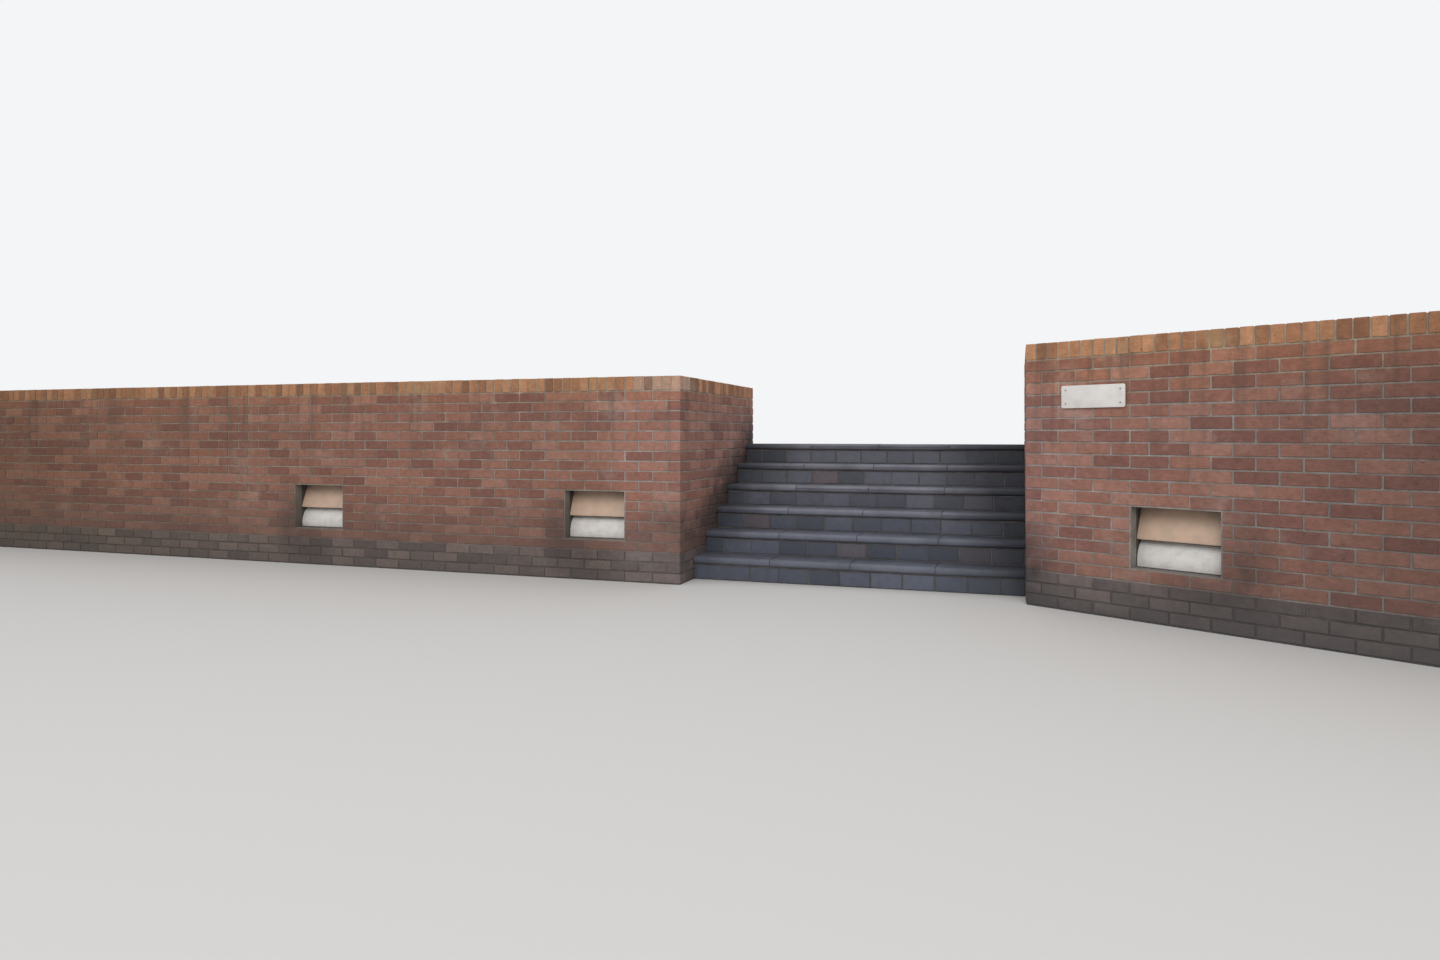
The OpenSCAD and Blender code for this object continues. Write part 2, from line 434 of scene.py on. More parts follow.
def feed(node, inputs):
    """Sets or links the inputs of node, given in the order of its sockets or by socket.

    Each is a number, a vector, an sRGB hex colour, (node, output), or a node alone for its first output.
    """
    for socket, value in inputs.items() if isinstance(inputs, dict) else enumerate(inputs):
        if isinstance(value, bpy.types.Node):
            value = (value, [output.enabled for output in value.outputs].index(True))
        if isinstance(value, tuple) and isinstance(value[0], bpy.types.Node):
            node.id_data.links.new(value[0].outputs[value[1]], node.inputs[socket])
        else:
            node.inputs[socket].default_value = linear(value) if isinstance(value, str) else value


def add_node(tree, kind, inputs=(), stops=(), **settings):
    """Adds a node to tree, with its settings, its inputs and a colour ramp's stops of place and colour."""
    node = tree.nodes.new("ShaderNode" + kind)
    for name, value in settings.items():
        setattr(node, name, value)
    feed(node, inputs)
    for _ in stops[2:]:
        node.color_ramp.elements.new(1)
    for number, (where, colour) in enumerate(stops):
        stop = node.color_ramp.elements[number]
        stop.position = where
        stop.color = linear(colour) if isinstance(colour, str) else (*colour, 1)
    return node


def new_material(name, roughness, ior=1.5, metallic=0.0):
    """An empty material, add_node for its tree, and its Object coordinates."""
    material = bpy.data.materials.new(name)
    material.use_nodes = True
    shader = material.node_tree.nodes["Principled BSDF"]
    feed(shader, {"Roughness": roughness, "IOR": ior, "Metallic": metallic})
    add = partial(add_node, material.node_tree)
    return material, add, (add("TexCoord"), "Object")


def surfaced(material, add, colour, layers=(), **more):
    """Gives a material its colour, and bumps it with layers of (height, strength, depth in metres)."""
    above = {}
    for height, strength, depth in layers:
        above = {"Normal": add("Bump", {"Height": height, "Strength": strength, "Distance": depth, **above})}
    feed(material.node_tree.nodes["Principled BSDF"], {"Base Color": colour, **above, **more})
    return material


def shaded(add, colour, *shares):
    """A colour made lighter and darker by the product of its shares."""
    shade = reduce(lambda share, other: add("Math", [share, other], **TIMES), shares)
    return add("Mix", {SHARE: 1, UNDER: colour, OVER: shade}, **TINT)


def dirt_and_shade_over(add, colour, dirt, *shares):
    """Dirt, stain, bloom or painted shade over a colour, as thick as the product of its shares."""
    thick = reduce(lambda share, other: add("Math", [share, other], **TIMES), shares)
    return add("Mix", {SHARE: thick, UNDER: colour, OVER: dirt}, **COVER)


# Painted light and shade along the wall, with some dirt: lighter at the entrance and beside the steps, darker
# towards the ends, and painted cooler on the right run for the light it faces. Places along X in metres, the
# share of the colour that it keeps, and how cool it is
WASHED_AND_SHADED = [
    (-7.7, 0.53, 0.77), (-6.3, 0.58, 0.77), (-4.9, 0.73, 0.87), (-3.6, 0.78, 0.93), (-2.6, 0.81, 0.97),
    (-1.3, 0.83, 1.01), (-0.22, 0.81, 1.0), (-0.04, 0.99, 1.08), (2.8, 0.95, 1.26), (2.98, 0.96, 1.12),
    (3.2, 0.96, 1.10), (3.6, 0.87, 1.08), (4.0, 0.79, 1.10), (4.3, 0.67, 1.10), (4.7, 0.54, 1.08),
    (7.7, 0.50, 1.08),
]
# Heights in metres: where the streaks start, where the painted light and shade along the wall weakens and the
# warm band under the coping starts, where streaks and warmth are full, and where half of that painted light
# and shade is left
STREAK_FOOT, WARM_FOOT, WARM_TOP, SHADE_HALF_TOP = 0.7, 1.25, 1.55, 1.65
# Darker patches round each light: how far past its middle they lie, their height, and half the width and
# height that they cover. One stands tall beside the outer end of the hood, and one lies at the foot of the
# wall.
DARK_PATCHES = [(0.31, 0.38, 0.17, 0.40), (0.11, 0.16, 0.34, 0.26)]
DARK_PATCH_STRENGTH = 1.25
# How deep into the wall the darker patches reach, at the lights and at the corners
DARK_PATCH_DEPTH, CORNER_DEPTH = 1, 0.3
# Where dirt and painted shade darken the two corners of the entrance: the corner, its height, half the width
# and height, and the strength
CORNER_SHADE_AND_DIRT = [(LEFT_X, 0.42, 0.42, 0.24, 1.2), (RIGHT_X, 0.14, 0.24, 0.56, 2.0)]
# The dark band of dirt and painted shade on the walls beside the steps: how steeply it climbs, a little less
# than they do, how ragged its edge is, and where it starts to fade and is gone, in metres over the line of
# the steps
CHEEK_BAND_SLOPE = 0.50
CHEEK_BAND_RAGGED = 0.5
CHEEK_BAND_FADE, CHEEK_BAND_END = 0.30, 0.58
# How far behind the faces of the walls the middle of that band lies, and how far it reaches to either side
CHEEK_BAND_BACK, CHEEK_BAND_REACH = 0.002, 0.008
# The dark bands of dirt and painted shade on the steps beside the walls: how far to the left of the middle
# the clean strip between them lies, how ragged they are, how much wider they get for each metre of height,
# and where they start and are full
STRIP_LEFT = 0.11
BAND_RAGGED = 0.3
BAND_WIDENS = 0.27
BAND_EDGE, BAND_FULL = ENTRANCE_W / 2 - 0.29, ENTRANCE_W / 2 + 0.20
# How high the left band is weakened at its foot beside the wall, and how much less for each metre away from
# it
BAND_FOOT_TOP = 0.40
BAND_FOOT_FALL = 0.25


def weathered_and_shaded(add, coords, colour, dirt, dirt_top, dirt_left, dirt_right, streak):
    """Ages the colour of a wall over its length and height.

    It is painted lighter at the entrance and beside the steps and darker towards the ends, as light and shade
    with some dirt, and cooler on the right run, as the light it faces. It is streaked under the coping,
    darker in patches beside the lights, darkened with dirt and painted shade at the corners and beside the
    steps, and splashed with dirt up to about dirt_top metres, by the shares dirt_left and dirt_right on the
    two runs.
    """
    where = add("SeparateXYZ", [coords])
    low, high = cad_box[0][0], cad_box[1][0]
    # Painted light and shade with some dirt along the wall, from the table
    along = add("MapRange", [(where, "X"), low, high])
    light_and_shade = add("ValToRGB", [along], [
        ((x - low) / (high - low), (share, share * (0.7 + 0.3 * cool), share * cool))
        for x, share, cool in WASHED_AND_SHADED])
    # The painted light and shade along the wall fades to half at the top
    shade_share = add("MapRange", [(where, "Z"), WARM_FOOT, SHADE_HALF_TOP, 1.0, 0.50])
    colour = add("Mix", {SHARE: shade_share, UNDER: colour, OVER: light_and_shade}, **TINT)
    # Streaks about 70 mm wide and over a metre long, strongest right under the coping
    run = add("Mapping", {"Vector": coords, "Scale": (13, 13, 0.7)})
    run = add("TexNoise", {"Vector": run, "Scale": 1, **SOFT})
    colour = dirt_and_shade_over(add, colour, "#4a3f38", add("MapRange", [run, 0.5, 0.68]),
                    add("MapRange", [(where, "Z"), STREAK_FOOT, WARM_TOP]), streak)
    # A warmer band under and on the coping, where the rain dries first
    warm = add("MapRange", [(where, "Z"), WARM_FOOT, WARM_TOP])
    warm = add("ValToRGB", [warm], [(0.0, (1, 1, 1)), (1.0, (1.12, 1.02, 0.85))])
    colour = shaded(add, colour, warm)
    # Darker patches beside and under the lights, and dirt with painted shade at the corners, broken up in
    # patches
    patch = add("TexNoise", {"Vector": coords, "Scale": 9, **SOFT})
    dark_spots = []
    for number in (1, 2, 3):
        middle = Vector([(a + b) / 2 for a, b in zip(*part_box(f"light_{number}_housing"))])
        outward = (RIGHT_RUN if number == 3 else LEFT_RUN).to_3x3().col[0]
        for past, height, half_w, half_h in DARK_PATCHES:
            spot = middle + outward * past
            dark_spots.append(((spot.x, spot.y, height), (half_w, DARK_PATCH_DEPTH, half_h), DARK_PATCH_STRENGTH))
    # The corners of the entrance, darkened with dirt and painted shade
    for corner_x, height, half_w, half_h, strength in CORNER_SHADE_AND_DIRT:
        dark_spots.append(((corner_x, FRONT_Y, height), (half_w, CORNER_DEPTH, half_h), strength))
    for middle, reach, strength in dark_spots:
        halo = add("Mapping", {"Vector": coords, "Location": middle, "Scale": reach}, vector_type="TEXTURE")
        halo = add("TexGradient", [halo], gradient_type="SPHERICAL")
        colour = dirt_and_shade_over(add, colour, "#352d2a", (halo, "Fac"), patch, strength)
    colour = scuffed_and_shaded(add, coords, where, colour)
    # Dirt that rain has splashed up, with an uneven upper edge
    edge = add("TexNoise", {"Vector": coords, "Scale": 5, **CLOUDY})
    ragged = add("Math", [edge, -dirt_top, (where, "Z")], **TIMES_PLUS)
    splash = add("MapRange", [ragged, -0.6 * dirt_top, 0.6 * dirt_top, 0.7, 0.0])
    return dirt_and_shade_over(add, colour, dirt, splash,
                  add("MapRange", [(where, "X"), LEFT_X, RIGHT_X, dirt_left, dirt_right]))


def off_middle(add, where, shift=0.0):
    """How far a point lies from the middle of the entrance, or from a line a shift to the left of it."""
    off = add("Math", [(where, "X"), (LEFT_X + RIGHT_X) / 2 - shift], operation="SUBTRACT")
    return add("Math", [off], operation="ABSOLUTE")


def scuffed_and_shaded(add, coords, where, colour):
    """Dirt and painted shade on the faces of the walls beside the steps, in a band that climbs with them."""
    off = off_middle(add, where)
    band = add("Math", [off, ENTRANCE_W / 2 + CHEEK_BAND_BACK, CHEEK_BAND_REACH], operation="COMPARE")
    climb = add("Math", [(where, "Y"), -CHEEK_BAND_SLOPE, (where, "Z")], **TIMES_PLUS)
    edge = add("TexNoise", {"Vector": coords, "Scale": 6, **CLOUDY})
    ragged = add("Math", [edge, -CHEEK_BAND_RAGGED, climb], **TIMES_PLUS)
    foot = -flight_low[1] * CHEEK_BAND_SLOPE - CHEEK_BAND_RAGGED / 2
    # It fades upwards, and is weaker at the foot
    fade = add("MapRange", [ragged, foot + CHEEK_BAND_FADE, foot + CHEEK_BAND_END, 0.85, 0.0])
    # Painted shade and dirt, dark brown-grey
    return dirt_and_shade_over(add, colour, "#2c2726", band, fade, add("MapRange", [(where, "Z"), 0.10, 0.40, 0.15, 1.0]))


def trodden_and_shaded(add, coords, colour):
    """Painted light and shade, and dirt, on the steps: lighter towards the top, and dark in bands beside the
    walls.
    """
    where = add("SeparateXYZ", [coords])
    # Painted light and shade by height: darker and cooler at the foot, lighter higher up, evening out the
    # shade under the nosings
    climb = add("ValToRGB", [(where, "Z")], [
        (0.0, (0.75, 0.79, 0.84)), (0.37, (0.94, 0.96, 1.0)), (0.62, (1.19, 1.15, 1.12)),
        (0.92, (1.10, 1.06, 1.01))])
    colour = shaded(add, colour, climb)
    # Bands of dirt and painted shade beside the walls
    edge = add("TexNoise", {"Vector": coords, "Scale": 7, **SOFT})
    ragged = add("Math", [edge, BAND_RAGGED, off_middle(add, where, STRIP_LEFT)], **TIMES_PLUS)
    wider = add("Math", [(where, "Z"), BAND_WIDENS, ragged], **TIMES_PLUS)
    dirt = add("MapRange", [wider, BAND_EDGE, BAND_FULL, 0.0, 0.88])
    # The left band is weaker at its foot
    foot_fade = add("Math", [(where, "X"), BAND_FOOT_FALL, (where, "Z")], **TIMES_PLUS)
    foot_fade = add("MapRange", [foot_fade, BAND_FOOT_FALL * LEFT_X, BAND_FOOT_FALL * LEFT_X + BAND_FOOT_TOP, 0.1, 1.0])
    return dirt_and_shade_over(add, colour, "#2c2f37", dirt, foot_fade)


def fired_brick(name, tones, bloom, bloom_share, age, roughness=0.88):
    """Wirecut clay brick, fired: every brick has its own tone, with drag marks, sand and pale bloom over it.

    Clay fires unevenly, so tones runs from the hard dark bricks to the soft pale ones. Bloom is salt or
    lichen. age is the dirt, its height and shares, and the strength of the streaks on the face of a wall.
    """
    material, add, coords = new_material(name, roughness)
    body = add("ValToRGB", [(add("Attribute", attribute_name="tone"), "Fac")], tones)
    # Cloudy patches of about 40 mm within a brick, and sand of about 3 mm, drawn coarse enough to show
    cloud = add("TexNoise", {"Vector": coords, "Scale": 26, **CLOUDY})
    sand = add("TexNoise", {"Vector": coords, "Scale": 330, **SANDY})
    # Lines that the wire dragged along the face, about 4 mm apart and 50 mm long
    drag = add("Mapping", {"Vector": coords, "Scale": (1, 1, 12)})
    drag = add("TexNoise", {"Vector": drag, "Scale": 20, **SOFT})
    colour = shaded(add, body, add("MapRange", [cloud, 0.3, 0.7, 0.82, 1.16]),
                    add("MapRange", [sand, 0.32, 0.68, 0.76, 1.20]),
                    add("MapRange", [drag, 0.35, 0.65, 0.90, 1.10]))
    # Open pores and tears of 2 to 6 mm where grit has caught on the wire, with painted shade inside
    tear = add("Mapping", {"Vector": coords, "Scale": (0.7, 0.7, 1.3)})
    tear = add("TexNoise", {"Vector": tear, "Scale": 95, "Detail": 3, "Roughness": 0.65})
    colour = dirt_and_shade_over(add, colour, "#432d27", add("MapRange", [tear, 0.645, 0.70]), 0.6)
    # Pale bloom in patches of about 0.4 m, broken up within each brick
    patch = add("TexNoise", {"Vector": coords, "Scale": 2.6, "Detail": 7, "Roughness": 0.66})
    colour = dirt_and_shade_over(add, colour, bloom, add("MapRange", [patch, 0.54, 0.72, 0.0, bloom_share]), cloud, 1.6)
    depth = add("MapRange", [tear, 0.62, 0.70, 1.0, 0.0])
    return surfaced(material, add, weathered_and_shaded(add, coords, colour, *age), [
        (cloud, 0.5, 0.0022), (drag, 0.55, 0.0020), (sand, 0.7, 0.0010), (depth, 0.7, 0.0014)])


def cement_mortar(name, tones, age):
    """Cement and sand mortar, struck a little back: sandy and dull, darker where it stays damp."""
    material, add, coords = new_material(name, 0.95)
    lump = add("TexNoise", {"Vector": coords, "Scale": 9, **CLOUDY})
    sand = add("TexNoise", {"Vector": coords, "Scale": 420, **SANDY})
    # Grit of about 3 mm, each grain its own colour
    grit = add("TexVoronoi", {"Vector": coords, "Scale": 340})
    body = add("ValToRGB", [lump], list(zip((0.3, 0.5, 0.72), tones)))
    colour = shaded(add, body, add("MapRange", [sand, 0.32, 0.68, 0.72, 1.22]),
                    add("MapRange", [(grit, "Color"), 0.2, 0.8, 0.84, 1.20]))
    return surfaced(material, add, weathered_and_shaded(add, coords, colour, *age), [
        (lump, 0.6, 0.003), (grit, 0.5, 0.0010), (sand, 0.8, 0.0014)])


def cast_slab():
    """Concrete cast blue-grey: fine stone speckle, nosings polished by wear, dirt in grooves, dirt and
    painted shade in corners.
    """
    material, add, coords = new_material("cast_concrete_blue_grey", 0.72)
    where = add("SeparateXYZ", [coords])
    patch = add("TexNoise", {"Vector": coords, "Scale": 3.2, "Detail": 6, "Roughness": 0.6})
    body = add("ValToRGB", [patch], [(0.3, "#43454f"), (0.5, "#51535e"), (0.72, "#5f616c")])
    # Stone chips of about 4 mm, and a tone for each slab
    chips = add("TexVoronoi", {"Vector": coords, "Scale": 240})
    tone = add("Attribute", attribute_name="tone")
    colour = shaded(add, body, add("MapRange", [(chips, "Color"), 0.2, 0.8, 0.74, 1.30]),
                    add("MapRange", [(tone, "Fac"), 0.0, 1.0, 0.88, 1.12]))
    # Wear along each nosing, which comes once every going, counted from well in front of the steps
    along = add("Math", [(where, "Y"), GOING * 20 + NOSING - flight_low[1]], operation="ADD")
    step = add("Math", [along, GOING], operation="MODULO")
    colour = dirt_and_shade_over(add, colour, "#777981", add("MapRange", [step, 0.012, 0.075, 0.9, 0.0]), patch)
    # Dirt packed into the two grooves
    off = add("Math", [step, sum(GROOVES) / 2], operation="SUBTRACT")
    off = add("Math", [off], operation="ABSOLUTE")
    near = add("Math", [off, (GROOVES[1] - GROOVES[0]) / 2, GROOVE_W / 2], operation="COMPARE")
    colour = dirt_and_shade_over(add, colour, "#26262a", near, 0.7)
    return surfaced(material, add, trodden_and_shaded(add, coords, colour), [(patch, 0.3, 0.004), (chips, 0.6, 0.0010)])


def blue_brick():
    """Blue clay brick fired hard: nearly black-blue, a little glazed, with a rust flash here and there."""
    material, add, coords = new_material("blue_hard_fired_brick", 0.55)
    body = add("ValToRGB", [(add("Attribute", attribute_name="tone"), "Fac")], [
        (0.0, "#40434c"), (0.5, "#4f525d"), (0.92, "#5d606c"), (1.0, "#5a4f52")])
    cloud = add("TexNoise", {"Vector": coords, "Scale": 24, **CLOUDY})
    # Grit of about 3 mm under the glaze, and pinholes in it
    grit = add("TexNoise", {"Vector": coords, "Scale": 320, **SANDY})
    colour = shaded(add, body, add("MapRange", [cloud, 0.3, 0.7, 0.82, 1.18]),
                    add("MapRange", [grit, 0.32, 0.68, 0.80, 1.20]))
    # Pinholes in the glaze, painted near black inside as shade
    hole = add("Mapping", {"Vector": coords, "Scale": (1, 1, 1.2)})
    hole = add("TexNoise", {"Vector": hole, "Scale": 130, "Detail": 2, "Roughness": 0.6})
    colour = dirt_and_shade_over(add, colour, "#1d1d20", add("MapRange", [hole, 0.68, 0.72]), 0.6)
    # Glaze pools in some places and is worn in others
    shine = add("MapRange", [cloud, 0.35, 0.65, 0.42, 0.7])
    drag = add("Mapping", {"Vector": coords, "Scale": (1, 1, 6)})
    drag = add("TexNoise", {"Vector": drag, "Scale": 30, "Detail": 3, "Roughness": 0.5})
    # Painted light and shade up the flight, and dirt and painted shade beside the walls, as on the slabs
    return surfaced(material, add, trodden_and_shaded(add, coords, colour), [
        (cloud, 0.4, 0.0015), (drag, 0.35, 0.0012), (grit, 0.5, 0.0007)], Roughness=shine)


def painted_sheet(name, colour, dust, roughness):
    """Powder coated sheet metal: a fine orange peel, and dust that dulls it in patches."""
    material, add, coords = new_material(name, roughness)
    dusty = add("TexNoise", {"Vector": coords, "Scale": 14, **CLOUDY})
    dusty = add("MapRange", [dusty, 0.4, 0.75, 0.0, 0.6])
    # Orange peel of about 2 mm
    peel = add("TexNoise", {"Vector": coords, "Scale": 500, "Detail": 1, "Roughness": 0.4})
    return surfaced(material, add, dirt_and_shade_over(add, colour, dust, dusty), [(peel, 0.12, 0.0004)])


def opal_plastic():
    """Opal acrylic, moulded with shallow ribs: milky white, half gloss, with grime in the ribs."""
    material, add, coords = new_material("opal_acrylic", 0.35, 1.49)
    grime = add("TexNoise", {"Vector": coords, "Scale": 18, **CLOUDY})
    grime = add("MapRange", [grime, 0.42, 0.8, 0.05, 0.5])
    # Ribs 11 mm apart
    ribs = add("TexWave", {"Vector": coords, "Scale": 28, "Distortion": 0}, bands_direction="Z")
    return surfaced(material, add, dirt_and_shade_over(add, "#d6d2cd", "#a09a93", grime), [((ribs, "Fac"), 0.4, 0.0015)],
                    **{"Subsurface Weight": 0.15, "Subsurface Scale": 0.01})


def screw_steel():
    """Stainless steel screw heads, turned: fine rings and a soft shine."""
    material, add, coords = new_material("stainless_steel_turned", 0.35, metallic=1.0)
    rings = add("TexNoise", {"Vector": coords, "Scale": 900, "Detail": 2, "Roughness": 0.6})
    return surfaced(material, add, add("ValToRGB", [rings], [(0.35, "#8f8e8c"), (0.65, "#b5b4b1")]), [
        (rings, 0.2, 0.0002)])


# Dirt, how high it reaches in metres, its shares on the left and right runs, and how strong the streaks are
ON_WALL = ("#52443e", 0.60, 1.25, 0.65, 0.55)
AT_FOOT = ("#43403f", 0.22, 0.5, 1.3, 0.0)
ON_TOP = ("#55453d", 0.05, 1.0, 1.0, 0.25)
# The tones of each clay, from its hard dark bricks to its soft pale ones
RED_TONES = [(0.0, "#7e5448"), (0.18, "#865b4e"), (0.42, "#8e6151"), (0.62, "#956755"), (0.82, "#9a6d5c"),
             (1.0, "#a27564")]
DARK_TONES = [(0.0, "#5a4e4a"), (0.5, "#6b5d58"), (1.0, "#7a6962")]
TAN_TONES = [(0.0, "#845e47"), (0.5, "#9f7357"), (1.0, "#b48769")]
PALE_TONES = [(0.0, "#7d6053"), (0.5, "#9a7b6c"), (1.0, "#ae9080")]
red_brick = fired_brick("red_clay_brick", RED_TONES, "#b39c90", 0.45, ON_WALL)
wall_mortar = cement_mortar("cement_mortar", ("#7d7268", "#948a80", "#aaa197"), ON_WALL)
dark_mortar = cement_mortar("cement_mortar_dirty", ("#4d4641", "#5e5650", "#6f675f"), AT_FOOT)
steel = screw_steel()
mortars = {"base_brick": dark_mortar, "wall_brick": wall_mortar}
# The finish of each slot, and of the left pier's coping, which is as clean and pale as the pier
finishes = {
    "wall_brick": red_brick,
    "pier_brick": red_brick,
    "base_brick": fired_brick("dark_hard_fired_brick", DARK_TONES, "#857d72", 0.35, AT_FOOT, 0.7),
    "coping_brick": fired_brick("tan_clay_brick_lichen", TAN_TONES, "#a79c7c", 0.65, ON_TOP),
    "left_pier_coping": fired_brick("pale_clay_brick", PALE_TONES, "#b3a69a", 0.6, ON_TOP),
    "riser": blue_brick(),
    "tread": cast_slab(),
    "light_housing": painted_sheet("powder_coated_sheet_dark", "#34302e", "#5b5148", 0.6),
    "light_hood": painted_sheet("powder_coated_sheet_tan", "#c2a58f", "#a48f7d", 0.5),
    "light_lens": opal_plastic(),
    "plate": painted_sheet("enamelled_sheet_white", "#d6d2ce", "#bcb5ad", 0.3),
}


# The brickwork

def column(low, size, courses, parity):
    """A brick in every second course, in the courses of one parity."""
    row = courses[0] + (courses[0] + parity) % 2
    base = Vector((low[0], low[1], row * COURSE + JOINT))
    brick = block(base, base + Vector((size[0], size[1], BRICK_H)), ARRIS)
    return repeat(brick, math.ceil((courses[1] - row) / 2), (0, 0, 2 * COURSE))


def bond(start, stop, courses, depths, shift):
    """Stretcher bond, in leaves at some depths: the bricks that start between two distances along a run.

    courses is (first, last + 1). shift is 0 where the even courses start with a whole brick, else 1.
    """
    layers = []
    for parity in (0, 1):
        offset = HALF * ((parity + shift) % 2)
        first = offset + PITCH * math.ceil((start - offset) / PITCH - TINY)
        count = math.ceil((stop - first) / PITCH - TINY)
        for depth in depths if count > 0 else ():
            layer = column((first, depth), (BRICK_L, BRICK_W), courses, parity)
            layers.append(repeat(layer, count, (PITCH, 0, 0)))
    return join(layers)


def edge_row(start, stop, step, heights, front=0.0, back=BRICK_L):
    """Bricks laid on edge across a wall: those that start between two distances along it."""
    first = step * math.ceil(start / step - TINY)
    brick = block((first, front, heights[0] + JOINT), (first + step - JOINT, back, heights[1]), ARRIS)
    return repeat(brick, math.ceil((stop - first) / step - TINY), (step, 0, 0))


def trim_end(bricks, end):
    """Ends a run at one length, with half bricks where the bond needs them."""
    clear_bricks(bricks, lambda low, high: low[:, 0] > end - TINY)
    trim_bricks(bricks, lambda low, high: high[:, 0] > end + TINY, (end, 0, 0), (1, 0, 0))


def trim_mitre(bricks, gap=0.0):
    """Cuts the bricks next to the right corner at its mitre, or a gap short of it."""
    trim_bricks(bricks, lambda low, high: low[:, 0] < BRICK_L, CORNER - MITRE * gap, MITRE)
    return bricks


def turn_corner(legs):
    """Cuts (piece, run) pairs at the mitre of the right corner, and welds their open ends to each other."""
    piece = join([place(slice_off(leg, CORNER, MITRE, close=False), run) for leg, run in legs])
    edit(piece)
    bpy.ops.mesh.remove_doubles(threshold=TINY)
    done()
    return piece


def open_recess(bricks, start):
    """Leaves the recess of a light: half bricks at its sides, and bricks on edge behind it."""
    stop = start + LIGHT_W

    def level(low, high, outer):
        middle = (low + high) / 2
        return (middle[:, 2] > RECESS[0]) & (middle[:, 2] < RECESS[1]) & ((middle[:, 1] < BRICK_W) == outer)

    clear_bricks(bricks, lambda low, high: level(low, high, True)
                 & (low[:, 0] > start - TINY) & (high[:, 0] < stop + TINY))
    for edge, away in ((start, 1), (stop, -1)):
        trim_bricks(bricks, lambda low, high: level(low, high, True)
                    & (low[:, 0] < edge) & (high[:, 0] > edge), (edge - JOINT * away, 0, 0), (away, 0, 0))
    back = LIGHT_SET + LIGHT_D + JOINT_DEPTH
    trim_bricks(bricks, lambda low, high: level(low, high, False)
                & (low[:, 0] < stop) & (high[:, 0] > start), (0, back, 0), (0, -1, 0))


def mortar_in(start, stop, heights, recess=None):
    """The mortar of a stretch of wall, a little back from both faces, open where a light stands."""
    front = JOINT_DEPTH
    back = BRICK_L - JOINT_DEPTH
    low, high = heights
    if recess is None:
        return block((start, front, low), (stop, back, high))
    end = recess + LIGHT_W
    floor, roof = RECESS
    return join([
        block((start, front, low), (recess, back, high)),
        block((end, front, low), (stop, back, high)),
        block((recess, front, low), (end, back, floor)),
        block((recess, front, roof), (end, back, high)),
        block((recess, LIGHT_SET + LIGHT_D, floor), (end, back, roof)),
    ])


def corner_mortar(heights):
    """The mortar of the right corner."""
    return turn_corner([(mortar_in(0, PIER, heights), run) for run in (RIGHT_RUN, RIGHT_SIDE)])


def pier_mortar(heights):
    """The mortar of the left pier, flush with the run and the side wall that it is bonded to."""
    low, high = heights
    front = JOINT_DEPTH
    back = BRICK_L - JOINT_DEPTH
    return place(join([
        block((front, front, low), (PIER, back, high)),
        block((front, back, low), (back, PIER, high)),
        block((back, back, low), (PIER - front, PIER - front, high)),
    ]), LEFT_RUN)


def node_heights(node):
    """The heights between which a node stands."""
    low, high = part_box(node)
    return low[2], high[2]


def node_courses(node):
    """The courses of brick in a node, as the first and the last + 1."""
    low, high = node_heights(node)
    return round(low / COURSE), round(high / COURSE)


def edge_step(length):
    """The step of a row of bricks on edge that comes out whole over a length."""
    return (length + JOINT) / round((length + JOINT) / COURSE)


def lay(bricks, mortar, node, slot, run=Matrix.Identity(4)):
    """Weathers one node's bricks, joins them with its mortar and moves both from the axes of a run.

    A node may have a finish of its own.
    """
    weather(bricks)
    paint(bricks, finishes.get(node, finishes[slot]))
    paint(mortar, mortars.get(slot, wall_mortar))
    finish_piece(place(join([bricks, mortar]), run), node + "_laid", node)


def lay_courses(node, slot, run, start, stop, end, shift, recess):
    """The bricks of a straight node between two distances along its run, which stops at end."""
    bricks = bond(start, stop, node_courses(node), (0, HALF), shift)
    trim_end(bricks, end)
    if recess is not None:
        open_recess(bricks, recess)
    mortar = mortar_in(start, min(stop, end - JOINT_DEPTH), node_heights(node), recess)
    lay(bricks, mortar, node, slot, run)


def lay_coping(node, run, start, stop, end, origin):
    """The bricks on edge of a straight node. The row starts at origin and comes out whole at end."""
    low, high = node_heights(node)
    bricks = edge_row(start - origin, stop - origin, edge_step(end - origin), (low, high))
    bricks.data.transform(Matrix.Translation((origin, 0, 0)))
    mortar = mortar_in(start, min(stop, end - JOINT_DEPTH), (low, high - JOINT_DEPTH))
    lay(bricks, mortar, node, "coping_brick", run)


def lay_left_pier(node, slot):
    """The square end pier, bonded into the run and into the wall beside the steps."""
    courses = node_courses(node)
    inner = PIER - HALF
    leaves = []
    for run, shift in ((LEFT_RUN, 0), (LEFT_SIDE, 1)):
        for start, depth in ((0, 0), (PITCH, HALF)):
            leaves.append(place(bond(start, PIER, courses, (depth,), shift), run))
    # The inner corner
    for low, size, parity in (((PIER - BRICK_L, inner), (BRICK_L, HALF), 0),
                              ((inner, PIER - BRICK_L), (HALF, BRICK_L), 1)):
        leaves.append(place(column(low, size, courses, parity), LEFT_RUN))
    lay(join(leaves), pier_mortar(node_heights(node)), node, slot)


def lay_left_pier_coping():
    """Bricks on edge: a row that goes on from the run, and cut bats behind it over the rest of the pier."""
    node = "left_pier_coping"
    low, high = node_heights(node)
    width = PIER + JOINT
    row = edge_row(0, PIER, COURSE, (low, high))
    bats = edge_row(0, width - TINY, width / PIER_BATS, (low, high), PITCH, PIER)
    lay(place(join([row, bats]), LEFT_RUN), pier_mortar((low, high - JOINT_DEPTH)), node, "coping_brick")


